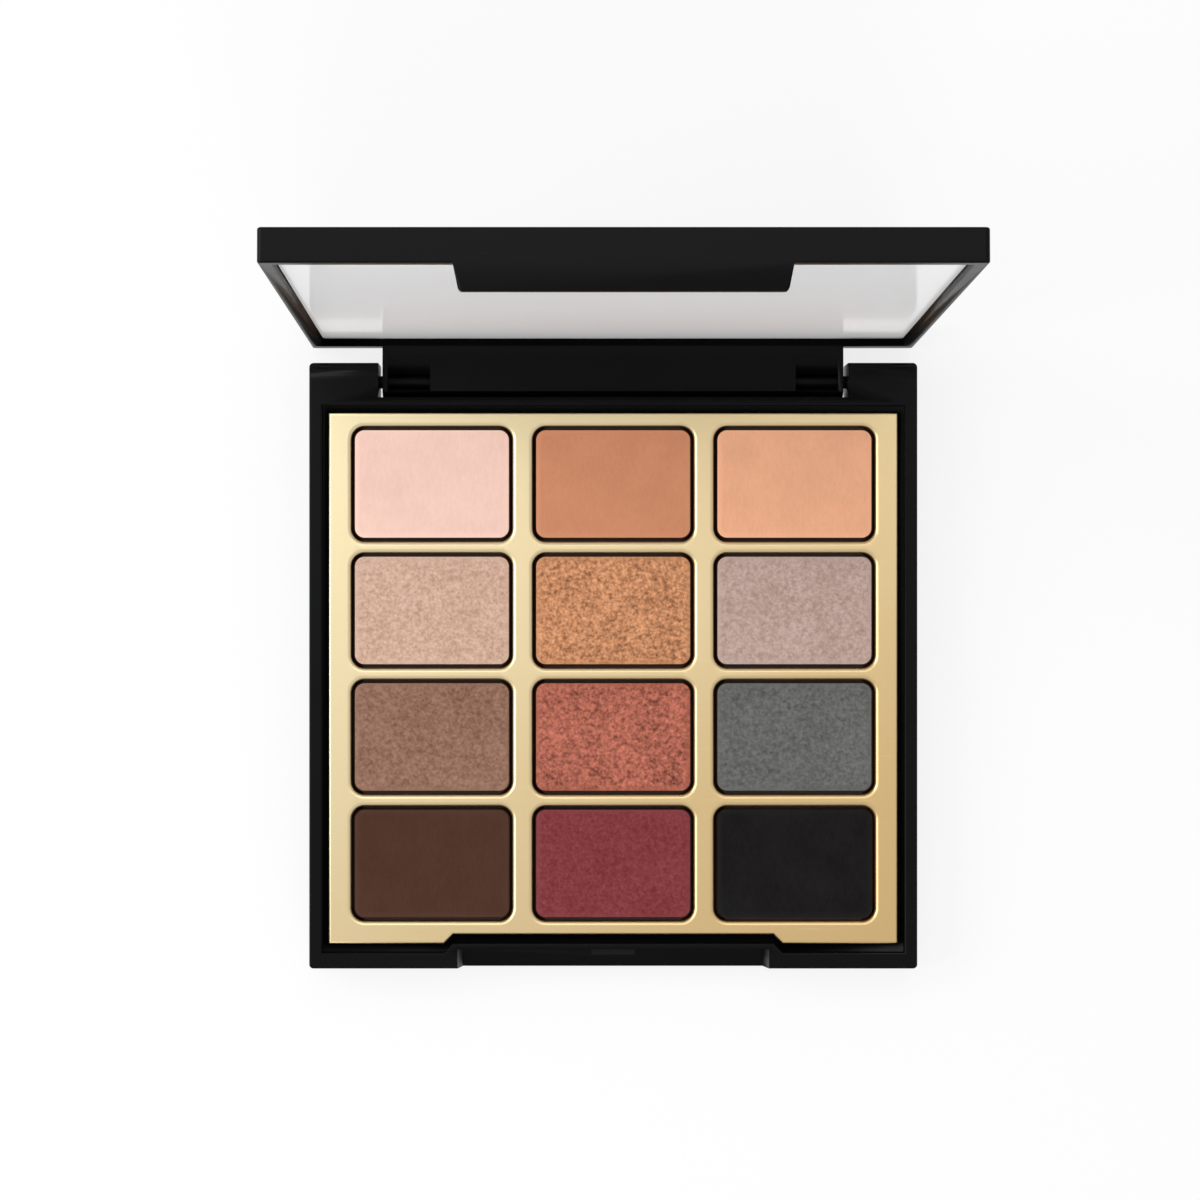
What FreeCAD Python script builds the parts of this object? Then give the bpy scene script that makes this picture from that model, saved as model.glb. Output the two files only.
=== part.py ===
import FreeCAD, Part
import math
import os
import re
import Sketcher

# Eyeshadow palette: square compact, open, mirror in the lid.
# Frame: X right, Y to the hinge side, Z up, origin at the centre of the underside.

sizes = {
    # outside
    "width": 115.0,
    "depth": 114.6,
    "base_height": 11.2,
    "corner_radius": 0.8,
    "foot_round": 0.7,
    "rim_round": 0.35,
    "cut_over": 1.0,
    # base walls
    "side_wall": 2.4,
    "front_wall": 3.0,
    "rear_wall": 1.5,
    "floor_thick": 1.6,
    "ledge_height": 8.4,
    "ledge_side": 3.0,
    "ledge_rear": 2.6,
    "ledge_front": 4.0,
    "rib_thick": 1.5,
    # hinge
    "hinge_inset": 3.3,
    "hinge_drop": 6.65,
    "ear_wide": 13.0,
    "heel_gap": 0.35,
    "tongue_gap": 0.6,
    "tongue_front": 2.2,
    "heel_radius": 2.9,
    "pin_radius": 1.2,
    "pin_press": 0.01,
    "pin_running": 0.06,
    "pin_chamfer": 0.25,
    "pin_sunk": 0.3,
    "pin_seat": 3.0,
    "window_margin": 1.0,
    "window_long": 8.1,
    "window_top": 4.7,
    "window_low": 2.0,
    "window_deep": 0.7,
    "slot_half": 1.5,
    "slot_deep": 3.5,
    # front recess, catch and lip
    "recess_side_gap": 2.7,
    "recess_draft": 1.0,
    "recess_deep": 3.65,
    "recess_drop": 4.9,
    "recess_wall": 1.1,
    "jog_wall": 0.8,
    "catch_long": 8.2,
    "catch_reach": 1.2,
    "catch_drop": 1.6,
    "catch_tall": 1.4,
    "catch_nose": 0.4,
    "lip_root_half": 26.8,
    "lip_draft": 0.9,
    "lip_tall": 4.4,
    "lip_thick": 1.8,
    "lip_round": 0.8,
    "bead_reach": 0.3,
    "bead_rise": 0.5,
    "bead_tall": 0.9,
    # tray
    "tray_side_gap": 1.2,
    "tray_front_gap": 1.6,
    "tray_rear_gap": 1.4,
    "tray_thick": 1.8,
    "tray_round": 0.5,
    "cell_radius": 2.5,
    "cell_bar_x": 3.85,
    "cell_bar_y": 2.17,
    "cell_side_margin": 4.3,
    "cell_round": 0.8,
    "cell_rear_margin": 2.55,
    "cell_front_margin": 4.29,
    "well_deep": 3.1,
    "well_wall": 1.0,
    "well_floor": 1.0,
    # pans and powder
    "pan_gap_x": 0.5,
    "pan_gap_y": 0.55,
    "pan_radius": 2.0,
    "pan_tall": 2.4,
    "pan_sheet": 0.3,
    "pan_foot_round": 0.6,
    "powder_tall": 1.95,
    "powder_round": 0.3,
    "glue_thick": 0.2,
    "glue_radius": 4.0,
    # lid
    "lid_gap": 0.1,
    "lid_thick": 5.7,
    "lid_round": 0.4,
    "lid_rim": 2.2,
    "lid_rear_rim": 6.15,
    "lid_relief": 0.2,
    "lid_relief_front": 0.6,
    "open_angle": 92.3,
    "mirror_sunk": 1.3,
    "mirror_thick": 1.2,
    "mirror_play": 0.2,
    "mirror_corner": 1.0,
    "tape_thick": 0.2,
    "tape_margin": 2.0,
    "lid_cell_deep": 1.2,
    "lid_cell_ledge": 4.0,
    "lid_rib": 2.0,
}

# places worked out from the sizes above
derived = {
    "half_width": "width / 2",
    "front_y": "-depth / 2",
    "rear_y": "depth / 2",
    "hinge_y": "rear_y - hinge_inset",
    "hinge_z": "base_height - hinge_drop",
    "strip_y": "hinge_y - heel_radius - heel_gap",
    "seat_half": "half_width - side_wall",
    "seat_rear": "strip_y - rear_wall",
    "seat_front": "front_y + front_wall",
    "jog_y": "front_y + recess_deep + recess_wall",
    "jog_slant": "jog_y - seat_front",
    "recess_half": "lip_root_half + recess_side_gap",
    "jog_half": "recess_half + jog_wall",
    "notch_half": "half_width - ear_wide",
    "tray_top": "ledge_height + tray_thick",
    "tray_half": "seat_half - tray_side_gap",
    "tray_rear": "seat_rear - tray_rear_gap",
    "tray_front": "seat_front + tray_front_gap",
    "well_low": "tray_top - well_deep - well_floor",
    "cell_wide": "(tray_half * 2 - cell_side_margin * 2 - cell_bar_x * 2) / 3",
    "cell_room": "tray_rear - tray_front - cell_rear_margin - cell_front_margin",
    "cell_long": "(cell_room - cell_bar_y * 3) / 4",
    "cell_pitch_x": "cell_wide + cell_bar_x",
    "cell_pitch_y": "cell_long + cell_bar_y",
    "pan_wide": "cell_wide - pan_gap_x * 2",
    "pan_long": "cell_long - pan_gap_y * 2",
    "row_one_y": "tray_rear - cell_rear_margin - cell_long / 2",
    "pan_z": "tray_top - well_deep + glue_thick",
    "tongue_half": "notch_half - tongue_gap",
    "lid_front": "-(depth - hinge_inset)",
    "rim_z": "hinge_drop + lid_gap",
    "mirror_z": "rim_z + mirror_sunk",
    "tape_z": "mirror_z + mirror_thick",
    "plate_z": "tape_z + tape_thick",
    "mirror_half": "half_width - lid_rim",
    "mirror_rear": "hinge_inset - lid_rear_rim",
    "mirror_front": "lid_front + lid_rim",
    "mirror_middle": "(mirror_rear + mirror_front) / 2",
    "mirror_length": "mirror_rear - mirror_front",
    "pin_length": "half_width - pin_sunk - tongue_half + window_margin + window_long + pin_seat",
    "bore_deep": "window_margin + window_long + pin_seat + pin_running",
}

rowNames = ["row1", "row2", "row3", "row4"]
columnNames = ["left", "middle", "right"]
powderNames = [
    ["powder_pale_pink", "powder_tan", "powder_peach"],
    ["powder_champagne", "powder_gold", "powder_mauve"],
    ["powder_taupe", "powder_copper", "powder_grey"],
    ["powder_dark_brown", "powder_burgundy", "powder_black"],
]

doc = FreeCAD.newDocument("palette")
sheet = doc.addObject("Spreadsheet::Sheet", "Sizes")
for line, (alias, number) in enumerate(sizes.items(), start=1):
    sheet.set(f"A{line}", alias)
    sheet.set(f"B{line}", str(number))
    sheet.setAlias(f"B{line}", alias)
doc.recompute()

pieces = []


def bound(text):
    # names of sizes become references to the sheet
    def swap(found):
        word = found.group(0)
        if word in derived:
            return "(" + bound(derived[word]) + ")"
        return "Sizes." + word if word in sizes else word

    return re.sub(r"[a-z_]+", swap, text)


def value(text):
    return float(sheet.evalExpression(bound(text)))


def newBody(name):
    body = doc.addObject("PartDesign::Body", name)
    body.Label = name
    pieces.append(body)
    return body


def newSketch(body, name, role, level="0"):
    plane = [item for item in body.Origin.OriginFeatures if item.Role == role][0]
    sketch = body.newObject("Sketcher::SketchObject", name)
    sketch.AttachmentSupport = [(plane, "")]
    sketch.MapMode = "FlatFace"
    sketch.setExpression("AttachmentOffset.Base.z", bound(level))
    return sketch


def tie(sketch, kind, geometry, position, text):
    number = sketch.addConstraint(
        Sketcher.Constraint(kind, -1, 1, geometry, position, value(text)))
    sketch.setExpression(f"Constraints[{number}]", bound(text))


def polygon(sketch, corners, arc=None):
    # a corner is two texts; arc replaces one segment, and its free corner is tied in x alone
    first = sketch.GeometryCount
    count = len(corners)
    numbers = [(value(x), value(y)) for x, y in corners]
    ends = []
    for index in range(count):
        start = FreeCAD.Vector(*numbers[index], 0)
        stop = FreeCAD.Vector(*numbers[(index + 1) % count], 0)
        if arc and arc["segment"] == index:
            centre = FreeCAD.Vector(value(arc["x"]), value(arc["y"]), 0)
            if arc["turn"] > 0:
                begin, finish = start - centre, stop - centre
            else:
                begin, finish = stop - centre, start - centre
            circle = Part.Circle(centre, FreeCAD.Vector(0, 0, 1), begin.Length)
            low = math.atan2(begin.y, begin.x)
            high = math.atan2(finish.y, finish.x)
            while high < low:
                high += 2 * math.pi
            sketch.addGeometry(Part.ArcOfCircle(circle, low, high))
            ends.append((1, 2) if arc["turn"] > 0 else (2, 1))
        else:
            sketch.addGeometry(Part.LineSegment(start, stop))
            ends.append((1, 2))
    for index in range(count):
        after = (index + 1) % count
        sketch.addConstraint(Sketcher.Constraint(
            "Coincident", first + index, ends[index][1], first + after, ends[after][0]))
    for index, (x, y) in enumerate(corners):
        tie(sketch, "DistanceX", first + index, ends[index][0], x)
        if not (arc and arc["free"] == index):
            tie(sketch, "DistanceY", first + index, ends[index][0], y)
    if arc:
        tie(sketch, "DistanceX", first + arc["segment"], 3, arc["x"])
        if arc["free"] is not None:
            tie(sketch, "DistanceY", first + arc["segment"], 3, arc["y"])


def rectangle(sketch, left, right, low, high):
    polygon(sketch, [(left, low), (right, low), (right, high), (left, high)])


def roundedRectangle(sketch, x, y, wide, long, radius):
    first = sketch.GeometryCount
    middle = FreeCAD.Vector(value(x), value(y), 0)
    halfWide, halfLong, bend = value(wide) / 2, value(long) / 2, value(radius)
    quarter = math.pi / 2
    signs = [(1, 1), (-1, 1), (-1, -1), (1, -1)]
    centres = [middle + FreeCAD.Vector(a * (halfWide - bend), b * (halfLong - bend), 0) for a, b in signs]
    up = FreeCAD.Vector(0, 0, 1)
    for index, centre in enumerate(centres):
        circle = Part.Circle(centre, up, bend)
        sketch.addGeometry(Part.ArcOfCircle(circle, index * quarter, (index + 1) * quarter))
    for index, centre in enumerate(centres):
        after = centres[(index + 1) % 4]
        turn = FreeCAD.Vector(math.cos((index + 1) * quarter), math.sin((index + 1) * quarter), 0)
        sketch.addGeometry(Part.LineSegment(centre + turn * bend, after + turn * bend))
    rules = []
    for index in range(4):
        line = first + 4 + index
        rules.append(Sketcher.Constraint("Tangent", first + index, 2, line, 1))
        rules.append(Sketcher.Constraint("Tangent", line, 2, first + (index + 1) % 4, 1))
        rules.append(Sketcher.Constraint("Horizontal" if index % 2 == 0 else "Vertical", line))
    for index in range(1, 4):
        rules.append(Sketcher.Constraint("Equal", first, first + index))
    sketch.addConstraint(rules)
    number = sketch.addConstraint(Sketcher.Constraint("Radius", first, bend))
    sketch.setExpression(f"Constraints[{number}]", bound(radius))
    tie(sketch, "DistanceX", first, 3, f"({x}) + ({wide}) / 2 - ({radius})")
    tie(sketch, "DistanceY", first, 3, f"({y}) + ({long}) / 2 - ({radius})")
    tie(sketch, "DistanceX", first + 2, 3, f"({x}) - ({wide}) / 2 + ({radius})")
    tie(sketch, "DistanceY", first + 2, 3, f"({y}) - ({long}) / 2 + ({radius})")


def disc(sketch, x, y, radius):
    centre = FreeCAD.Vector(value(x), value(y), 0)
    circle = sketch.addGeometry(Part.Circle(centre, FreeCAD.Vector(0, 0, 1), value(radius)))
    tie(sketch, "DistanceX", circle, 3, x)
    tie(sketch, "DistanceY", circle, 3, y)
    number = sketch.addConstraint(Sketcher.Constraint("Radius", circle, value(radius)))
    sketch.setExpression(f"Constraints[{number}]", bound(radius))


def feature(body, kind, name, sketch, length=None, flip=False, both=False):
    made = body.newObject("PartDesign::" + kind, name)
    made.Profile = sketch
    made.Reversed = flip
    if both:
        made.SideType = "Symmetric"
    if length:
        made.setExpression("Length", bound(length))
    else:
        made.Type = "ThroughAll"
    doc.recompute()
    return made


def pad(body, name, sketch, length, flip=False, both=False):
    return feature(body, "Pad", name, sketch, length, flip, both)


def pocket(body, name, sketch, length=None, flip=False, both=False):
    before = body.Shape.Volume
    made = feature(body, "Pocket", name, sketch, length, flip, both)
    if body.Shape.Volume > before - 1e-6:
        raise RuntimeError(f"{name} removes nothing")
    return made


def roundOff(body, name, radius, wanted):
    # wanted picks edges by their bounding box
    tip = body.Tip
    names = [f"Edge{number}" for number, edge in enumerate(tip.Shape.Edges, start=1)
             if wanted(edge.BoundBox)]
    made = body.newObject("PartDesign::Fillet", name)
    made.Base = (tip, names)
    made.setExpression("Radius", bound(radius))
    doc.recompute()
    return made


def near(first, second):
    return abs(first - second) < 1e-4


def flatAt(level):
    return lambda box: near(box.ZMin, level) and near(box.ZMax, level)


def upright(box):
    return box.XLength < 1e-4 and box.YLength < 1e-4


def place(piece, x="0", y="0", z="0"):
    for axis, text in (("x", x), ("y", y), ("z", z)):
        piece.setExpression("Placement.Base." + axis, bound(text))


def hang(body):
    # lid pieces are drawn closed about the hinge line, then swung open
    body.Placement = FreeCAD.Placement(
        FreeCAD.Vector(0, value("hinge_y"), value("hinge_z")),
        FreeCAD.Rotation(FreeCAD.Vector(-1, 0, 0), value("open_angle")))
    place(body, "0", "hinge_y", "hinge_z")
    body.setExpression("Placement.Rotation.Angle", bound("open_angle"))


def columnX(column):
    return f"cell_pitch_x * {column - 1}"


def rowY(row):
    return f"row_one_y - cell_pitch_y * {row}"


def buildBase():
    body = newBody("base_shell")
    outer = newSketch(body, "baseOuter", "XY_Plane")
    rectangle(outer, "-half_width", "half_width", "front_y", "rear_y")
    pad(body, "baseBlock", outer, "base_height")
    roundOff(body, "baseCorners", "corner_radius", upright)
    roundOff(body, "baseFoot", "foot_round", flatAt(0))
    roundOff(body, "baseRim", "rim_round", flatAt(value("base_height")))

    seat = newSketch(body, "baseSeat", "XY_Plane", "base_height")
    polygon(seat, [
        ("-seat_half", "seat_front"),
        ("-jog_half - jog_slant", "seat_front"),
        ("-jog_half", "jog_y"),
        ("jog_half", "jog_y"),
        ("jog_half + jog_slant", "seat_front"),
        ("seat_half", "seat_front"),
        ("seat_half", "seat_rear"),
        ("-seat_half", "seat_rear"),
    ])
    pocket(body, "seatCut", seat, "base_height - ledge_height")
    inside = value("half_width - side_wall / 2")

    def seatEdge(box):
        level = value("base_height")
        return (near(box.ZMin, level) and near(box.ZMax, level)
                and box.XMax < inside and box.XMin > -inside
                and box.YMin > value("seat_front") - 0.01
                and box.YMax < value("seat_rear") + 0.01)

    roundOff(body, "seatRim", "rim_round", seatEdge)

    hollow = newSketch(body, "baseHollow", "XY_Plane", "ledge_height")
    rectangle(hollow, "-seat_half + ledge_side", "seat_half - ledge_side",
              "seat_front + ledge_front", "seat_rear - ledge_rear")
    pocket(body, "hollowCut", hollow, "ledge_height - floor_thick")

    ribs = newSketch(body, "baseRibs", "XY_Plane", "floor_thick")
    for column in range(3):
        middle = columnX(column)
        rectangle(ribs, f"{middle} - rib_thick / 2", f"{middle} + rib_thick / 2",
                  "seat_front + ledge_front", "seat_rear - ledge_rear")
    pad(body, "ribPads", ribs, "well_low - floor_thick")

    notch = newSketch(body, "baseNotch", "XY_Plane", "base_height")
    rectangle(notch, "-notch_half", "notch_half", "strip_y", "rear_y + cut_over")
    pocket(body, "notchCut", notch)

    recess = newSketch(body, "baseRecess", "XZ_Plane", "-front_y")
    polygon(recess, [
        ("-recess_half + recess_draft", "base_height - recess_drop"),
        ("recess_half - recess_draft", "base_height - recess_drop"),
        ("recess_half", "base_height"),
        ("recess_half", "base_height + cut_over"),
        ("-recess_half", "base_height + cut_over"),
        ("-recess_half", "base_height"),
    ])
    pocket(body, "recessCut", recess, "recess_deep")

    roll = newSketch(body, "earRoll", "YZ_Plane")
    polygon(roll, [
        ("hinge_y", "base_height"),
        ("hinge_y + hinge_drop", "hinge_z"),
        ("hinge_y + hinge_drop", "base_height"),
    ], arc={"segment": 0, "x": "hinge_y", "y": "hinge_z", "turn": -1, "free": None})
    pocket(body, "earRollCut", roll, both=True)

    bore = newSketch(body, "earBore", "YZ_Plane")
    disc(bore, "hinge_y", "hinge_z", "pin_radius + pin_press")
    pocket(body, "earBoreCut", bore, both=True)

    catch = newSketch(body, "baseCatch", "YZ_Plane")
    polygon(catch, [
        ("front_y + recess_deep", "base_height - catch_drop"),
        ("front_y + recess_deep", "base_height - catch_drop - catch_tall"),
        ("front_y + recess_deep - catch_reach", "base_height - catch_drop - (catch_tall + catch_nose) / 2"),
        ("front_y + recess_deep - catch_reach", "base_height - catch_drop - (catch_tall - catch_nose) / 2"),
    ])
    pad(body, "catchPad", catch, "catch_long", both=True)


def buildTray():
    body = newBody("pan_tray")
    deck = newSketch(body, "trayDeck", "XY_Plane", "ledge_height")
    polygon(deck, [
        ("-tray_half", "tray_front"),
        ("-jog_half - jog_slant", "tray_front"),
        ("-jog_half", "tray_front + jog_slant"),
        ("jog_half", "tray_front + jog_slant"),
        ("jog_half + jog_slant", "tray_front"),
        ("tray_half", "tray_front"),
        ("tray_half", "tray_rear"),
        ("-tray_half", "tray_rear"),
    ])
    pad(body, "deckPad", deck, "tray_thick")
    roundOff(body, "deckRim", "tray_round", flatAt(value("tray_top")))

    wells = newSketch(body, "trayWells", "XY_Plane", "ledge_height")
    lastRow = rowY(3)
    for column in range(3):
        middle = columnX(column)
        rectangle(wells, f"{middle} - cell_wide / 2 - well_wall", f"{middle} + cell_wide / 2 + well_wall",
                  f"{lastRow} - cell_long / 2 - well_wall", "row_one_y + cell_long / 2 + well_wall")
    pad(body, "wellPads", wells, "ledge_height - well_low", flip=True)

    cells = newSketch(body, "trayCells", "XY_Plane", "tray_top")
    for row in range(4):
        for column in range(3):
            roundedRectangle(cells, columnX(column), rowY(row), "cell_wide", "cell_long", "cell_radius")
    pocket(body, "cellCut", cells, "well_deep")

    sides = value("tray_half - tray_round")

    def cellEdge(box):
        level = value("tray_top")
        return (near(box.ZMin, level) and near(box.ZMax, level)
                and box.XMax < sides - 0.1 and box.XMin > 0.1 - sides
                and box.YMax < value("tray_rear - tray_round") - 0.1
                and box.YMin > value("tray_front + jog_slant + tray_round") + 0.1)

    roundOff(body, "cellRims", "cell_round", cellEdge)


def buildPan(row, column):
    body = newBody(f"pan_{rowNames[row]}_{columnNames[column]}")
    outer = newSketch(body, "panOuter", "XY_Plane")
    roundedRectangle(outer, "0", "0", "pan_wide", "pan_long", "pan_radius")
    pad(body, "panBlock", outer, "pan_tall")
    roundOff(body, "panFoot", "pan_foot_round", flatAt(0))
    inner = newSketch(body, "panInner", "XY_Plane", "pan_tall")
    roundedRectangle(inner, "0", "0", "pan_wide - pan_sheet * 2", "pan_long - pan_sheet * 2",
                     "pan_radius - pan_sheet")
    pocket(body, "panCut", inner, "pan_tall - pan_sheet")
    place(body, columnX(column), rowY(row), "pan_z")


def buildPowder(row, column):
    body = newBody(powderNames[row][column])
    cake = newSketch(body, "cake", "XY_Plane")
    roundedRectangle(cake, "0", "0", "pan_wide - pan_sheet * 2", "pan_long - pan_sheet * 2",
                     "pan_radius - pan_sheet")
    pad(body, "cakeBlock", cake, "powder_tall")
    roundOff(body, "cakeTop", "powder_round", flatAt(value("powder_tall")))
    place(body, columnX(column), rowY(row), "pan_z + pan_sheet")


def buildGlue():
    dots = []
    for row in range(4):
        for column in range(3):
            dot = doc.addObject("Part::Cylinder", f"glue_{rowNames[row]}_{columnNames[column]}")
            dot.setExpression("Radius", bound("glue_radius"))
            dot.setExpression("Height", bound("glue_thick"))
            place(dot, columnX(column), rowY(row), "tray_top - well_deep")
            dots.append(dot)
    group = doc.addObject("Part::Compound", "pan_glue_pads")
    group.Label = "pan_glue_pads"
    group.Links = dots
    pieces.append(group)
    doc.recompute()


def buildPin(name, start):
    body = newBody(name)
    profile = newSketch(body, "pinProfile", "XZ_Plane")
    polygon(profile, [
        ("0", "0"),
        ("pin_length", "0"),
        ("pin_length", "pin_radius - pin_chamfer"),
        ("pin_length - pin_chamfer", "pin_radius"),
        ("pin_chamfer", "pin_radius"),
        ("0", "pin_radius - pin_chamfer"),
    ])
    turned = body.newObject("PartDesign::Revolution", "pinTurned")
    turned.Profile = profile
    turned.ReferenceAxis = (profile, ["H_Axis"])
    turned.Angle = 360
    doc.recompute()
    place(body, start, "hinge_y", "hinge_z")


def buildLid():
    body = newBody("lid_shell")
    outer = newSketch(body, "lidOuter", "XY_Plane", "rim_z")
    rectangle(outer, "-half_width", "half_width", "lid_front", "hinge_inset")
    pad(body, "lidBlock", outer, "lid_thick")
    roundOff(body, "lidCorners", "corner_radius", upright)
    roundOff(body, "lidCrown", "lid_round", flatAt(value("rim_z + lid_thick")))
    roundOff(body, "lidRim", "rim_round", flatAt(value("rim_z")))

    seat = newSketch(body, "mirrorSeat", "XY_Plane", "rim_z")
    rectangle(seat, "-mirror_half", "mirror_half", "mirror_front", "mirror_rear")
    pocket(body, "mirrorSeatCut", seat, "plate_z - rim_z", flip=True)

    cells = newSketch(body, "lidCells", "XY_Plane", "plate_z")
    wide = "(mirror_half * 2 - lid_cell_ledge * 2 - lid_rib * 2) / 3"
    long = "(mirror_length - lid_cell_ledge * 2 - lid_rib * 2) / 3"
    for row in range(3):
        for column in range(3):
            left = f"-mirror_half + lid_cell_ledge + ({wide} + lid_rib) * {column}"
            low = f"mirror_front + lid_cell_ledge + ({long} + lid_rib) * {row}"
            rectangle(cells, left, f"{left} + {wide}", low, f"{low} + {long}")
    pocket(body, "lidCellCut", cells, "lid_cell_deep", flip=True)

    relief = newSketch(body, "earRelief", "XY_Plane", "rim_z")
    rectangle(relief, "tongue_half", "half_width + cut_over", "-lid_relief_front", "hinge_inset + cut_over")
    rectangle(relief, "-half_width - cut_over", "-tongue_half", "-lid_relief_front", "hinge_inset + cut_over")
    pocket(body, "earReliefCut", relief, "lid_relief", flip=True)

    tongue = newSketch(body, "tongue", "YZ_Plane")
    polygon(tongue, [
        ("-tongue_front", "-sqrt(heel_radius ^ 2 - tongue_front ^ 2)"),
        ("0", "-heel_radius"),
        ("hinge_inset", "-heel_radius"),
        ("hinge_inset", "rim_z + rim_round"),
        ("-tongue_front", "rim_z + rim_round"),
    ], arc={"segment": 0, "x": "0", "y": "0", "turn": 1, "free": 0})
    pad(body, "tonguePad", tongue, "tongue_half * 2", both=True)

    lip = newSketch(body, "lip", "XZ_Plane", "-lid_front")
    polygon(lip, [
        ("-lip_root_half + lip_draft", "rim_z - lip_tall"),
        ("lip_root_half - lip_draft", "rim_z - lip_tall"),
        ("lip_root_half", "rim_z"),
        ("lip_root_half", "rim_z + rim_round"),
        ("-lip_root_half", "rim_z + rim_round"),
        ("-lip_root_half", "rim_z"),
    ])
    pad(body, "lipPad", lip, "lip_thick", flip=True)

    def lipCorner(box):
        return (near(box.ZMin, value("rim_z - lip_tall")) and near(box.ZMax, value("rim_z - lip_tall"))
                and box.XLength < 1e-4)

    roundOff(body, "lipCorners", "lip_round", lipCorner)

    bead = newSketch(body, "lipBead", "YZ_Plane")
    polygon(bead, [
        ("lid_front + lip_thick", "rim_z - lip_tall + bead_rise"),
        ("lid_front + lip_thick + bead_reach", "rim_z - lip_tall + bead_rise + bead_tall / 2"),
        ("lid_front + lip_thick", "rim_z - lip_tall + bead_rise + bead_tall"),
    ])
    pad(body, "beadPad", bead, "catch_long", both=True)

    for side, flip in (("tongue_half", False), ("-tongue_half", True)):
        bore = newSketch(body, "pinBore", "YZ_Plane", side)
        disc(bore, "0", "0", "pin_radius + pin_running")
        pocket(body, "pinBoreCut", bore, "bore_deep", flip=flip)

    window = newSketch(body, "pinWindow", "XZ_Plane", "tongue_front")
    slot = newSketch(body, "pinSlot", "XZ_Plane", "tongue_front")
    ends = ("tongue_half - window_margin - window_long", "tongue_half - window_margin")
    for left, right in (ends, (f"-({ends[1]})", f"-({ends[0]})")):
        rectangle(window, left, right, "-window_low", "window_top")
        rectangle(slot, left, right, "-slot_half", "slot_half")
    pocket(body, "pinWindowCut", window, "window_deep")
    pocket(body, "pinSlotCut", slot, "slot_deep")
    hang(body)


def buildMirror():
    body = newBody("mirror")
    plate = newSketch(body, "mirrorPlate", "XY_Plane", "mirror_z")
    roundedRectangle(plate, "0", "mirror_middle", "mirror_half * 2 - mirror_play * 2",
                     "mirror_length - mirror_play * 2", "mirror_corner")
    pad(body, "mirrorBlock", plate, "mirror_thick")
    hang(body)

    body = newBody("mirror_tape")
    sheetOutline = newSketch(body, "tapeSheet", "XY_Plane", "tape_z")
    roundedRectangle(sheetOutline, "0", "mirror_middle", "mirror_half * 2 - tape_margin * 2",
                     "mirror_length - tape_margin * 2", "mirror_corner")
    pad(body, "tapeBlock", sheetOutline, "tape_thick")
    hang(body)


buildBase()
buildTray()
for row in range(4):
    for column in range(3):
        buildPan(row, column)
        buildPowder(row, column)
buildGlue()
buildLid()
buildMirror()
buildPin("hinge_pin_left", "-half_width + pin_sunk")
buildPin("hinge_pin_right", "half_width - pin_sunk - pin_length")
doc.recompute()

for item in doc.Objects:
    if "Invalid" in item.State or "Error" in item.State:
        raise RuntimeError(f"{item.Name} did not build: {item.State}")
os.makedirs("parts", exist_ok=True)
for piece in pieces:
    shape = piece.Shape
    if shape.isNull() or not shape.isValid():
        raise RuntimeError(f"{piece.Label} has no valid shape")
    shape.exportStep(f"parts/{piece.Label}.step")
    box = shape.BoundBox
    print(f"{piece.Label}: {len(shape.Solids)} solid, {shape.Volume:.1f} mm3,"
          f" {box.XLength:.2f} x {box.YLength:.2f} x {box.ZLength:.2f}")
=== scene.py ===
import bmesh
import bpy
import math
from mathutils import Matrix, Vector


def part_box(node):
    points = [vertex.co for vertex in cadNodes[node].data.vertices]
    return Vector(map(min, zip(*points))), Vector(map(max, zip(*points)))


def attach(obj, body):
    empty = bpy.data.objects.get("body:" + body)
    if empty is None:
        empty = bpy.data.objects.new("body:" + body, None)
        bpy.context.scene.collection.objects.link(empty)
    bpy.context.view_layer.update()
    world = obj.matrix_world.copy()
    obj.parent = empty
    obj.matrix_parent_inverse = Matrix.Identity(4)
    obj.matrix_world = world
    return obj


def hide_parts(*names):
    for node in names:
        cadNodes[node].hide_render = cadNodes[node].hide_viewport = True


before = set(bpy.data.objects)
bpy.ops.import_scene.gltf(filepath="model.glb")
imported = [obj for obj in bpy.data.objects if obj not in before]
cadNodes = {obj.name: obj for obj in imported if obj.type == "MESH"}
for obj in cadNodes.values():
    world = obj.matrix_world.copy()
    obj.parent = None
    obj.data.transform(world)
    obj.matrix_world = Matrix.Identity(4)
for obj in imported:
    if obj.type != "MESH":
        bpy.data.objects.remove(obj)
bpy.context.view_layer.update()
mm = 0.001


class Wire:
    # a shader socket that ordinary sums can be written with
    def __init__(self, board, socket):
        self.board = board
        self.socket = socket

    def maths(self, operation, first, second):
        return self.board.add("ShaderNodeMath", {"operation": operation}, {0: first, 1: second})

    def __add__(self, other):
        return self.maths("ADD", self, other)

    __radd__ = __add__

    def __sub__(self, other):
        return self.maths("SUBTRACT", self, other)

    def __rsub__(self, other):
        return self.maths("SUBTRACT", other, self)

    def __mul__(self, other):
        return self.maths("MULTIPLY", self, other)

    __rmul__ = __mul__

    def __truediv__(self, other):
        return self.maths("DIVIDE", self, other)

    def size(self):
        return self.maths("ABSOLUTE", self, 0)

    def most(self, other):
        return self.maths("MAXIMUM", self, other)

    def clear(self, low, high):
        # 0 below low, 1 above high, soft between
        return self.board.add("ShaderNodeMapRange", {"interpolation_type": "SMOOTHSTEP"},
                              {"Value": self, "From Min": low, "From Max": high})


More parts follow.
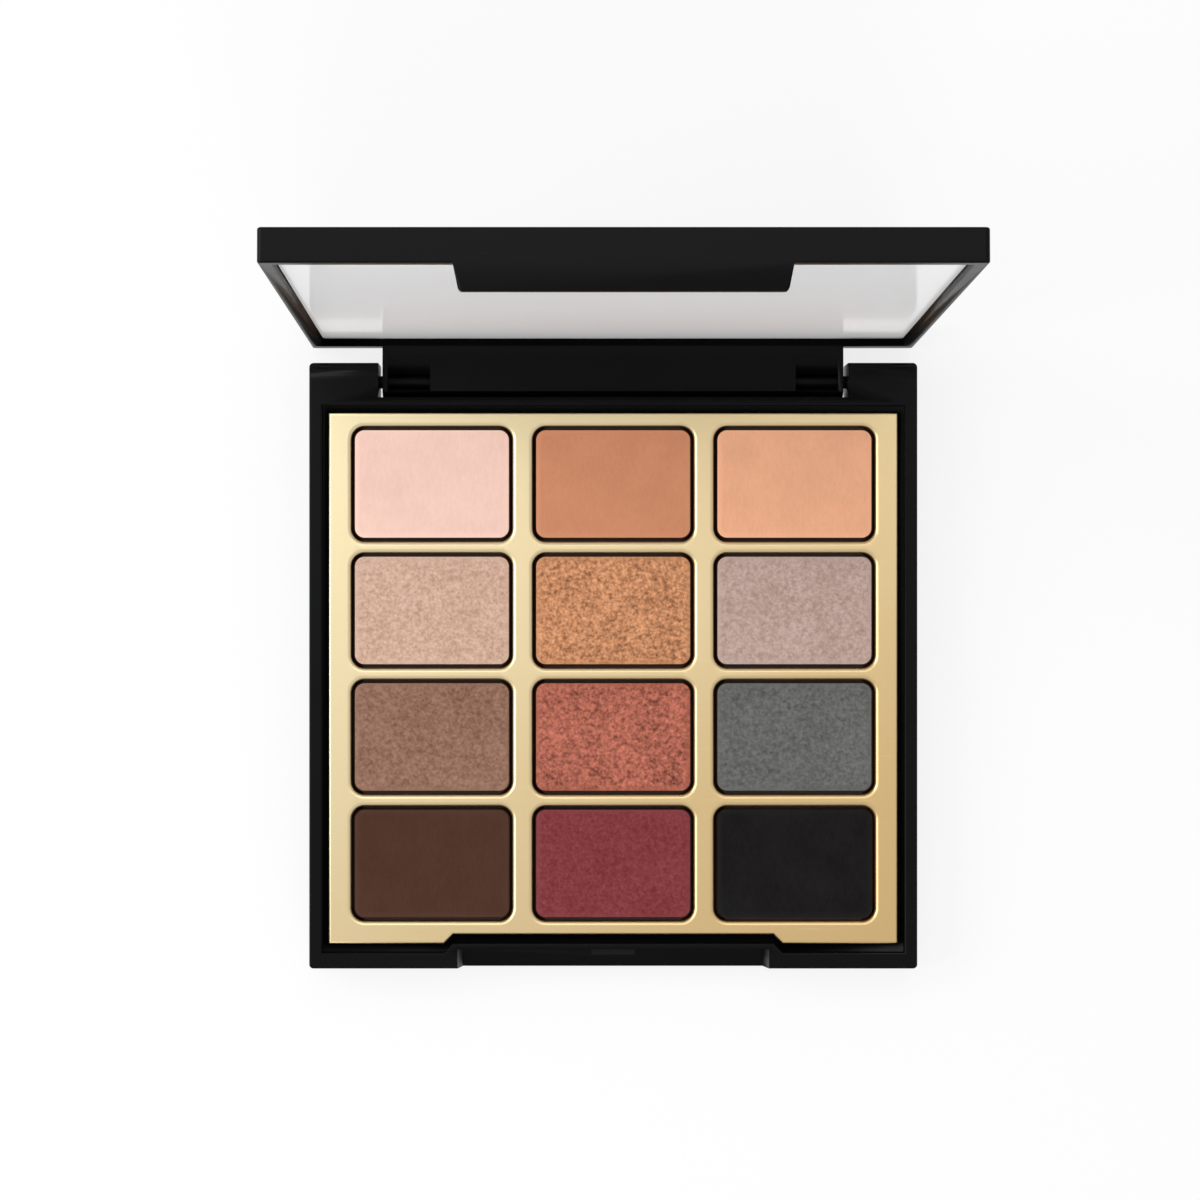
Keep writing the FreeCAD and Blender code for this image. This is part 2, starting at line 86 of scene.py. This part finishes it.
class Board:
    # one material's node tree
    def __init__(self, name):
        self.material = bpy.data.materials.new(name)
        self.material.use_nodes = True
        self.tree = self.material.node_tree
        self.tree.nodes.clear()

    def add(self, kind, settings=None, sockets=None, output=0):
        node = self.tree.nodes.new(kind)
        for name, setting in (settings or {}).items():
            setattr(node, name, setting)
        for name, value in (sockets or {}).items():
            self.feed(node, name, value)
        return Wire(self, node.outputs[output]) if node.outputs else None

    def feed(self, node, name, value):
        socket = node.inputs[name]
        if isinstance(value, Wire):
            self.tree.links.new(value.socket, socket)
        elif isinstance(value, tuple) and len(value) == 3 and socket.type == "RGBA":
            socket.default_value = (*value, 1)
        else:
            socket.default_value = value

    def noise(self, size, detail=2.0, rough=0.5, place=None):
        return self.add("ShaderNodeTexNoise", {},
                        {"Vector": place or self.place(), "Scale": 1 / size, "Detail": detail,
                         "Roughness": rough})

    def cells(self, size, output="Color"):
        return self.add("ShaderNodeTexVoronoi", {}, {"Vector": self.place(), "Scale": 1 / size}, output)

    def place(self, stretch=None):
        spot = self.add("ShaderNodeTexCoord", output="Object")
        if stretch:
            spot = self.add("ShaderNodeMapping", {}, {"Vector": spot, "Scale": stretch})
        return spot

    def blend(self, factor, first, second):
        # sockets 0, 6 and 7 are the colour mix's factor and its two colours
        node = self.tree.nodes.new("ShaderNodeMix")
        node.data_type = "RGBA"
        self.feed(node, 0, factor)
        self.feed(node, 6, first)
        self.feed(node, 7, second)
        return Wire(self, node.outputs[2])

    def grey(self, colour):
        return self.add("ShaderNodeRGBToBW", {}, {"Color": colour})

    def bump(self, height, strength, distance, under=None):
        sockets = {"Height": height, "Strength": strength, "Distance": distance}
        if under:
            sockets["Normal"] = under
        return self.add("ShaderNodeBump", {}, sockets)

    def axis(self, spot, index):
        return self.add("ShaderNodeSeparateXYZ", {}, {0: spot}, index)

    def surface(self, **sockets):
        named = {name.replace("_", " "): value for name, value in sockets.items()}
        shader = self.add("ShaderNodeBsdfPrincipled", {}, named)
        self.add("ShaderNodeOutputMaterial", {}, {"Surface": shader})
        return self.material


def linear(red, green, blue):
    # screen colour, 0 to 255, to scene colour
    def one(part):
        part /= 255
        return part / 12.92 if part <= 0.04045 else ((part + 0.055) / 1.055) ** 2.4

    return one(red), one(green), one(blue)


def pick(*pieces):
    bpy.ops.object.select_all(action="DESELECT")
    for piece in pieces:
        piece.select_set(True)
    bpy.context.view_layer.objects.active = pieces[0]


def wear(piece, material):
    piece.data.materials.clear()
    piece.data.materials.append(material)


# case plastic
caseLook = {
    "black": linear(4, 4, 5),
    "worn": linear(20, 20, 21),
    "cloudSize": 14 * mm,
    "grainSize": 0.24 * mm,
    "scratchSize": 0.5 * mm,
    "scratchStretch": (0.05, 1, 1),
    "scratchCut": (0.66, 0.72),
    "smudgeCut": (0.36, 0.64),
    "dustSize": 2.3 * mm,
    "dustCut": (0.03, 0.06),
    "smudgeTint": 0.05,
    "grainTint": 0.26,
    "scratchTint": 0.35,
    "dustTint": 0.30,
    "roughness": 0.34,
    "smudgeRough": 0.025,
    "scratchShine": 0.06,
    "dustRough": 0.2,
    "gloss": 0.09,
    "grainBump": 0.22,
    "grainDepth": 0.03 * mm,
    "waveBump": 0.02,
    "waveDepth": 0.15 * mm,
}


def casePlastic():
    look = caseLook
    board = Board("case_plastic")
    cloud = board.noise(look["cloudSize"], 4, 0.6)
    grain = board.noise(look["grainSize"], 1)
    hair = board.noise(look["scratchSize"], 3, 0.6, board.place(look["scratchStretch"]))
    scratch = hair.clear(*look["scratchCut"]) * cloud
    smudge = cloud.clear(*look["smudgeCut"])
    dust = 1 - board.cells(look["dustSize"], "Distance").clear(*look["dustCut"])
    marks = smudge * look["smudgeTint"] + grain * look["grainTint"]
    marks = marks + scratch * look["scratchTint"] + dust * look["dustTint"]
    rough = look["roughness"] + smudge * look["smudgeRough"]
    rough = rough - scratch * look["scratchShine"] + dust * look["dustRough"]
    wave = board.bump(cloud, look["waveBump"], look["waveDepth"])
    return board.surface(
        Base_Color=board.blend(marks, look["black"], look["worn"]),
        Roughness=rough,
        Specular_IOR_Level=look["gloss"],
        Normal=board.bump(grain, look["grainBump"], look["grainDepth"], wave))


# plated tray: the gold covers the deck; down the wells it gives way to a painted shade, dark brown and
# not metallic
trayLook = {
    # pale and deep are the lit and shaded ends of painted light across the deck; pale is also the
    # colour of the rubbed streaks
    "pale": linear(232, 217, 177),
    "deep": linear(210, 179, 126),
    "wellShade": linear(74, 44, 20),
    "wellShadeFrom": 9.62 * mm,
    "wellShadeTo": 9.80 * mm,
    "litToShadedLength": 120 * mm,
    "litToShadedShare": 0.75,
    "litToShadedCut": (0.1, 0.9),
    "cloudSize": 45 * mm,
    "peelSize": 0.55 * mm,
    "peelBump": 0.05,
    "peelDepth": 0.03 * mm,
    "fineSize": 0.12 * mm,
    "rubSize": 0.4 * mm,
    "rubStretch": (0.04, 1, 1),
    "rubCut": (0.62, 0.74),
    "rubTint": 0.15,
    "roughness": 0.30,
    "fineRough": 0.05,
    "cloudRough": 0.05,
    "rubRough": 0.03,
}


def platedGold():
    look = trayLook
    board = Board("plated_gold")
    cloud = board.noise(look["cloudSize"], 3, 0.5)
    peel = board.noise(look["peelSize"], 2)
    fine = board.noise(look["fineSize"], 1)
    rub = board.noise(look["rubSize"], 3, 0.6, board.place(look["rubStretch"])).clear(*look["rubCut"])
    spot = board.place()
    # painted shade: below the deck the wells turn dark brown and lose their metal, standing in for the
    # shade in the gaps round the pans
    deckNotShaded = board.axis(spot, 2).clear(look["wellShadeFrom"], look["wellShadeTo"])
    # painted light and shade: from 0 at the lit upper left corner to 1 at the shaded lower right one
    litToShaded = (board.axis(spot, 0) - board.axis(spot, 1)) / look["litToShadedLength"] * 0.5 + 0.5
    # the painted light and shade is mixed with a share of random tone
    tint = litToShaded * look["litToShadedShare"] + cloud * (1 - look["litToShadedShare"])
    colour = board.blend(tint.clear(*look["litToShadedCut"]), look["pale"], look["deep"])
    colour = board.blend(rub * look["rubTint"], colour, look["pale"])
    rough = look["roughness"] + fine * look["fineRough"]
    rough = rough + cloud * look["cloudRough"] + rub * look["rubRough"]
    return board.surface(
        Base_Color=board.blend(deckNotShaded, look["wellShade"], colour),
        Metallic=deckNotShaded,
        Roughness=rough,
        Normal=board.bump(peel, look["peelBump"], look["peelDepth"]))


# mirror plate: its pale grey diffuse colour is a painted reflection of the bright surroundings; only
# the metallic share reflects for real
mirrorLook = {
    "silver": linear(238, 239, 240),
    "bloom": linear(222, 223, 225),
    "metallic": 0.24,
    "gloss": 0.0,
    "hazeSize": 22 * mm,
    "hazeTint": 0.25,
    "hazeRough": 0.03,
    "smearSize": 3 * mm,
    "smearStretch": (1, 1, 0.15),
    "smearCut": (0.55, 0.8),
    "smearRough": 0.05,
    "roughness": 0.08,
}


def silverPlate():
    look = mirrorLook
    board = Board("silver_plate")
    haze = board.noise(look["hazeSize"], 4, 0.6)
    smear = board.noise(look["smearSize"], 3, 0.6, board.place(look["smearStretch"]))
    smear = smear.clear(*look["smearCut"])
    return board.surface(
        Base_Color=board.blend(haze * look["hazeTint"], look["silver"], look["bloom"]),
        Metallic=look["metallic"],
        Roughness=look["roughness"] + smear * look["smearRough"] + haze * look["hazeRough"],
        Specular_IOR_Level=look["gloss"])


# hinge pins: their near-black colour is painted shade, the shade of the slot they turn in
pinLook = {
    "dark": linear(20, 20, 21),
    "bright": linear(32, 32, 33),
    "streakSize": 0.12 * mm,
    "streakStretch": (0.02, 1, 1),
    "streakBump": 0.15,
    "streakDepth": 0.01 * mm,
    "roughness": 0.48,
    "streakRough": 0.16,
}


def drawnSteel():
    look = pinLook
    board = Board("drawn_steel")
    streak = board.noise(look["streakSize"], 3, 0.6, board.place(look["streakStretch"]))
    return board.surface(
        Base_Color=board.blend(streak, look["dark"], look["bright"]),
        Metallic=1.0,
        Roughness=look["roughness"] + streak * look["streakRough"],
        Normal=board.bump(streak, look["streakBump"], look["streakDepth"]))


# pans: their dark brown is painted shade, standing in for the shaded gap round each cake
panLook = {
    "dark": linear(34, 26, 21),
    "bright": linear(58, 46, 38),
    "cloudSize": 6 * mm,
    "streakSize": 0.2 * mm,
    "streakStretch": (1, 0.05, 1),
    "roughness": 0.32,
    "streakRough": 0.18,
}


def pressedSheet():
    look = panLook
    board = Board("pressed_sheet")
    streak = board.noise(look["streakSize"], 3, 0.6, board.place(look["streakStretch"]))
    cloud = board.noise(look["cloudSize"], 3)
    return board.surface(
        Base_Color=board.blend(cloud, look["dark"], look["bright"]),
        Metallic=1.0,
        Roughness=look["roughness"] + streak * look["streakRough"])


# tape behind the mirror and glue under the pans
adhesiveLook = {
    "tape_sheet": (linear(222, 218, 206), linear(205, 200, 188)),
    "hot_glue": (linear(226, 218, 190), linear(206, 196, 164)),
    "cloudSize": 1.5 * mm,
    "cloudBump": 0.2,
    "cloudDepth": 0.05 * mm,
    "roughness": 0.45,
    "cloudRough": 0.2,
}


def glueAndTape(name):
    look = adhesiveLook
    board = Board(name)
    cloud = board.noise(look["cloudSize"], 4, 0.6)
    return board.surface(
        Base_Color=board.blend(cloud, *look[name]),
        Roughness=look["roughness"] + cloud * look["cloudRough"],
        Normal=board.bump(cloud, look["cloudBump"], look["cloudDepth"]))


# pressed powders: screen colour, and how much of it is pearl
shades = {
    "powder_pale_pink": {"colour": (240, 201, 186), "pearl": 0.0},
    "powder_tan": {"colour": (203, 137, 103), "pearl": 0.0},
    "powder_peach": {"colour": (237, 174, 138), "pearl": 0.0},
    "powder_champagne": {"colour": (199, 168, 149), "pearl": 0.42},
    "powder_gold": {"colour": (186, 129, 88), "pearl": 1.3},
    "powder_mauve": {"colour": (179, 156, 147), "pearl": 0.42},
    "powder_taupe": {"colour": (133, 99, 81), "pearl": 0.75},
    "powder_copper": {"colour": (158, 85, 64), "pearl": 1.5},
    "powder_grey": {"colour": (91, 91, 90), "pearl": 0.75},
    "powder_dark_brown": {"colour": (74, 47, 35), "pearl": 0.0},
    "powder_burgundy": {"colour": (118, 48, 53), "pearl": 0.4},
    "powder_black": {"colour": (19, 17, 18), "pearl": 0.0},
}
# painted highlight: each cake is made lighter along its outline, where its edge catches the light
edgeHighlightLook = {"reach": 1.2 * mm, "gain": 1.10, "lift": 0.006}


def edgeOf(board, name):
    # 0 over the cake, 1 at its outline: the mask of the painted edge highlight
    low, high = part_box(name)
    middle = (low + high) / 2
    reach = edgeHighlightLook["reach"]
    spot = board.place()
    sides = []
    for axis in range(2):
        half = (high[axis] - low[axis]) / 2
        sides.append(((board.axis(spot, axis) - middle[axis]).size() - half + reach) / reach)
    return sides[0].most(sides[1]).clear(0.0, 1.0)


def lighter(colour, gain, lift):
    return tuple(min(1, part * gain + lift) for part in colour)


matteLook = {
    "lightGain": 1.06,
    "darkGain": 0.94,
    "lightLift": 0.004,
    "darkLift": -0.001,
    "cloudSize": 6 * mm,
    "grainSize": 0.22 * mm,
    "weaveSize": 0.5 * mm,
    "weaveStretch": (1, 0.35, 1),
    "cloudShare": 0.35,
    "grainShare": 0.40,
    "weaveShare": 0.25,
    "contrast": (0.34, 0.66),
    "edgeHighlightShare": 0.6,
    "roughness": 0.82,
    "grainRough": 0.12,
    "gloss": 0.12,
    "grainBump": 0.16,
    "grainDepth": 0.03 * mm,
    "weaveBump": 0.08,
    "weaveDepth": 0.04 * mm,
}


def mattePowder(name, shade):
    look = matteLook
    board = Board(name)
    base = linear(*shade["colour"])
    light = lighter(base, look["lightGain"], look["lightLift"])
    dark = lighter(base, look["darkGain"], look["darkLift"])
    # painted highlight along the cake's outline
    edgeHighlight = lighter(base, edgeHighlightLook["gain"], edgeHighlightLook["lift"])
    cloud = board.noise(look["cloudSize"], 3, 0.5)
    grain = board.noise(look["grainSize"], 2, 0.7)
    weave = board.noise(look["weaveSize"], 2, 0.5, board.place(look["weaveStretch"]))
    mix = cloud * look["cloudShare"] + grain * look["grainShare"] + weave * look["weaveShare"]
    colour = board.blend(mix.clear(*look["contrast"]), dark, light)
    woven = board.bump(weave, look["weaveBump"], look["weaveDepth"])
    return board.surface(
        Base_Color=board.blend(edgeOf(board, name) * look["edgeHighlightShare"], colour, edgeHighlight),
        Roughness=look["roughness"] + grain * look["grainRough"],
        Specular_IOR_Level=look["gloss"],
        Normal=board.bump(grain, look["grainBump"], look["grainDepth"], woven))


# a second value is what a full share of pearl adds to the first
pearlLook = {
    "lightGain": (1.06, 0.54),
    "lightLift": (0.004, 0.022),
    "darkGain": (0.94, -0.50),
    "darkLeast": 0.2,
    "darkHue": 0.50,
    "cloudSize": 7 * mm,
    "mottleSize": 1.2 * mm,
    "grainSize": 0.55 * mm,
    "sparkSize": 0.36 * mm,
    "sparkCut": (0.74, 0.95),
    "cloudShare": 0.15,
    "mottleShare": 0.42,
    "grainShare": 0.43,
    "contrast": (0.28, 0.72),
    "edgeHighlightShare": 0.5,
    "sparkMetal": (0.15, 0.20),
    "roughness": (0.66, -0.12),
    "sparkShine": 0.12,
    "grainRough": 0.08,
    "gloss": 0.25,
    "grainBump": (0.10, 0.12),
    "grainDepth": 0.05 * mm,
    "mottleBump": 0.10,
    "mottleDepth": 0.10 * mm,
}


def pearlPowder(name, shade):
    look = pearlLook
    board = Board(name)
    base = linear(*shade["colour"])

    def grown(key):
        plain, added = look[key]
        return plain + added * shade["pearl"]

    light = lighter(base, grown("lightGain"), grown("lightLift"))
    shadow = max(look["darkLeast"], grown("darkGain"))
    dark = tuple(part * shadow * (part / max(base)) ** look["darkHue"] for part in base)
    # painted highlight along the cake's outline
    edgeHighlight = lighter(base, edgeHighlightLook["gain"], edgeHighlightLook["lift"])
    cloud = board.noise(look["cloudSize"], 3, 0.5)
    mottle = board.noise(look["mottleSize"], 4, 0.62)
    grain = board.noise(look["grainSize"], 3, 0.55)
    spark = board.grey(board.cells(look["sparkSize"])).clear(*look["sparkCut"])
    mix = cloud * look["cloudShare"] + mottle * look["mottleShare"] + grain * look["grainShare"]
    colour = board.blend(mix.clear(*look["contrast"]), dark, light)
    mottled = board.bump(mottle, look["mottleBump"], look["mottleDepth"])
    return board.surface(
        Base_Color=board.blend(edgeOf(board, name) * look["edgeHighlightShare"], colour, edgeHighlight),
        Metallic=spark * grown("sparkMetal"),
        Roughness=grown("roughness") - spark * look["sparkShine"] + grain * look["grainRough"],
        Specular_IOR_Level=look["gloss"],
        Normal=board.bump(grain, grown("grainBump"), look["grainDepth"], mottled))


# smooth skins over the moulded CAD nodes
skinLook = {"mergeGap": 0.001 * mm, "smoothAngle": 40}


def smoothSkin(nodeName, body, material):
    source = cadNodes[nodeName]
    skin = source.copy()
    skin.data = source.data.copy()
    skin.name = nodeName + "_skin"
    skin.parent = None
    for key in [key for key in skin.keys() if key.startswith("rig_")]:
        del skin[key]
    bpy.context.scene.collection.objects.link(skin)
    pick(skin)
    bpy.ops.object.mode_set(mode="EDIT")
    bpy.ops.mesh.select_all(action="SELECT")
    bpy.ops.mesh.remove_doubles(threshold=skinLook["mergeGap"])
    bpy.ops.object.mode_set(mode="OBJECT")
    bpy.ops.object.shade_smooth_by_angle(angle=math.radians(skinLook["smoothAngle"]))
    bpy.ops.object.modifier_add(type="WEIGHTED_NORMAL")
    skin.modifiers[-1].keep_sharp = True
    bpy.ops.object.modifier_apply(modifier=skin.modifiers[-1].name)
    wear(skin, material)
    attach(skin, body)
    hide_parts(nodeName)
    return skin


# powder cakes
cakeLook = {
    "cornerRadius": 1.83 * mm,
    "cornerSteps": 8,
    "heaped": 0.22 * mm,
    "brimReach": 0.13 * mm,
    "brimThick": 0.065 * mm,
    "edgeRound": 0.04 * mm,
    "edgeSteps": 2,
    "dishMargin": 1.1 * mm,
    "dishDepth": 0.05 * mm,
    "smoothAngle": 50,
}
hairline = 1e-7


def selectParts(piece, kind, wanted):
    # wanted is given the places of a face's or an edge's corners
    bpy.ops.mesh.select_mode(type=kind)
    bpy.ops.mesh.select_all(action="DESELECT")
    mesh = bmesh.from_edit_mesh(piece.data)
    parts = mesh.edges if kind == "EDGE" else mesh.faces
    for part in parts:
        if wanted([corner.co for corner in part.verts]):
            part.select_set(True)
    mesh.select_flush_mode()
    bmesh.update_edit_mesh(piece.data)


def isUpright(corners):
    return (corners[0].xy - corners[1].xy).length < hairline


def liesAt(height):
    return lambda corners: all(abs(corner.z - height) < hairline for corner in corners)


def shapeCake(nodeName):
    # the powder is pressed down into the pan and lies thinly over its rim
    look = cakeLook
    low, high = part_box(nodeName)
    reach = look["brimReach"]
    top = high + Vector((reach, reach, look["heaped"]))
    under = Vector((low.x - reach, low.y - reach, top.z - look["brimThick"]))
    bpy.ops.object.select_all(action="DESELECT")
    bpy.ops.mesh.primitive_cube_add(size=1, location=(under + top) / 2)
    cake = bpy.context.object
    cake.scale = top - under
    bpy.ops.object.transform_apply(location=True, rotation=False, scale=True)
    bpy.ops.object.mode_set(mode="EDIT")
    selectParts(cake, "EDGE", isUpright)
    bpy.ops.mesh.bevel(offset=look["cornerRadius"], segments=look["cornerSteps"], affect="EDGES")
    selectParts(cake, "FACE", liesAt(under.z))
    bpy.ops.mesh.inset(thickness=reach)
    bpy.ops.mesh.extrude_region_move(TRANSFORM_OT_translate={"value": (0, 0, low.z - under.z)})
    selectParts(cake, "EDGE", liesAt(top.z))
    bpy.ops.mesh.bevel(offset=look["edgeRound"], segments=look["edgeSteps"], affect="EDGES")
    # the press leaves the middle a touch lower than the edge
    selectParts(cake, "FACE", liesAt(top.z))
    bpy.ops.mesh.inset(thickness=look["dishMargin"])
    bpy.ops.transform.translate(value=(0, 0, -look["dishDepth"]))
    bpy.ops.object.mode_set(mode="OBJECT")
    bpy.ops.object.shade_smooth_by_angle(angle=math.radians(look["smoothAngle"]))
    return cake


print("materials")
plastic = casePlastic()
gold = platedGold()
steel = drawnSteel()
sheetMetal = pressedSheet()

print("case and tray")
smoothSkin("base_shell", "base", plastic)
smoothSkin("lid_shell", "lid", plastic)
smoothSkin("pan_tray", "base", gold)
for side in ("left", "right"):
    smoothSkin("hinge_pin_" + side, "base", steel)
wear(cadNodes["mirror"], silverPlate())
wear(cadNodes["mirror_tape"], glueAndTape("tape_sheet"))
wear(cadNodes["pan_glue_pads"], glueAndTape("hot_glue"))
for nodeName in cadNodes:
    if nodeName.startswith("pan_row"):
        smoothSkin(nodeName, "base", sheetMetal)

print("powder cakes")
firstName = "powder_pale_pink"
pattern = shapeCake(firstName)
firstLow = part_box(firstName)[0]
for name, shade in shades.items():
    cake = pattern.copy()
    cake.data = pattern.data.copy()
    cake.name = name + "_cake"
    bpy.context.scene.collection.objects.link(cake)
    pick(cake)
    cake.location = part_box(name)[0] - firstLow
    bpy.ops.object.transform_apply(location=True, rotation=False, scale=False)
    wear(cake, pearlPowder(name, shade) if shade["pearl"] else mattePowder(name, shade))
    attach(cake, "base")
    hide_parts(name)
bpy.data.objects.remove(pattern)

print("stage")
stageLook = {
    "floorSize": 6.0,
    "floorColour": (0.90, 0.90, 0.90),
    "floorRoughness": 0.9,
    "floorGloss": 0.1,
    "floorWhite": 0.82,
    "ambient": 0.48,
}
bpy.ops.object.select_all(action="DESELECT")
bpy.ops.mesh.primitive_plane_add(size=stageLook["floorSize"], location=(0, 0, 0))
floor = bpy.context.object
floor.name = "floor"
paper = Board("floor_paper")
lit = paper.add("ShaderNodeBsdfPrincipled", {}, {"Base Color": stageLook["floorColour"],
                                                 "Roughness": stageLook["floorRoughness"],
                                                 "Specular IOR Level": stageLook["floorGloss"]})
white = paper.add("ShaderNodeEmission", {}, {"Color": (1, 1, 1), "Strength": 1.0})
direct = paper.add("ShaderNodeLightPath", output="Is Camera Ray")
mirrored = paper.add("ShaderNodeLightPath", output="Is Glossy Ray")
share = direct.most(mirrored) * stageLook["floorWhite"]
sheet = paper.add("ShaderNodeMixShader", {}, {0: share, 1: lit, 2: white})
paper.add("ShaderNodeOutputMaterial", {}, {"Surface": sheet})
wear(floor, paper.material)

world = bpy.data.worlds.new("studio")
bpy.context.scene.world = world
world.use_nodes = True
sky = world.node_tree
sky.nodes.clear()
rays = sky.nodes.new("ShaderNodeLightPath")
seen = sky.nodes.new("ShaderNodeMath")
seen.operation = "MAXIMUM"
sky.links.new(rays.outputs["Is Camera Ray"], seen.inputs[0])
sky.links.new(rays.outputs["Is Glossy Ray"], seen.inputs[1])
level = sky.nodes.new("ShaderNodeMapRange")
level.inputs["To Min"].default_value = stageLook["ambient"]
level.inputs["To Max"].default_value = 1.0
sky.links.new(seen.outputs[0], level.inputs["Value"])
glow = sky.nodes.new("ShaderNodeBackground")
sky.links.new(level.outputs[0], glow.inputs["Strength"])
sky.links.new(glow.outputs[0], sky.nodes.new("ShaderNodeOutputWorld").inputs[0])


lampLook = {
    "key_light": {"place": (-0.70, 0.12, 0.55), "size": 0.65, "power": 5.1, "mirrored": True},
    "rim_light": {"place": (-0.04, 0.45, 0.92), "size": 0.7, "power": 2.2, "mirrored": True},
    "fill_light": {"place": (0.10, -0.90, 0.40), "size": 0.6, "power": 5.0, "mirrored": False},
}
for name, look in lampLook.items():
    lamp = bpy.data.lights.new(name, "AREA")
    lamp.size = look["size"]
    lamp.energy = look["power"]
    softBox = bpy.data.objects.new(name, lamp)
    softBox.location = look["place"]
    softBox.rotation_euler = (-Vector(look["place"])).to_track_quat("-Z", "Y").to_euler()
    softBox.visible_glossy = look["mirrored"]
    bpy.context.scene.collection.objects.link(softBox)

print("camera")
viewLook = {
    "place": (-9.43 * mm, 12.41 * mm, 618.4 * mm),
    "lens": 96.36,
    "sensor": 36.0,
    "shift": 0.0305,
    "clipStart": 10 * mm,
}
camera = bpy.data.objects.new("camera", bpy.data.cameras.new("camera"))
camera.location = viewLook["place"]
camera.data.lens = viewLook["lens"]
camera.data.sensor_width = viewLook["sensor"]
camera.data.shift_x = viewLook["shift"]
camera.data.clip_start = viewLook["clipStart"]
bpy.context.scene.collection.objects.link(camera)
bpy.context.scene.camera = camera
bpy.context.scene.view_settings.view_transform = "Standard"
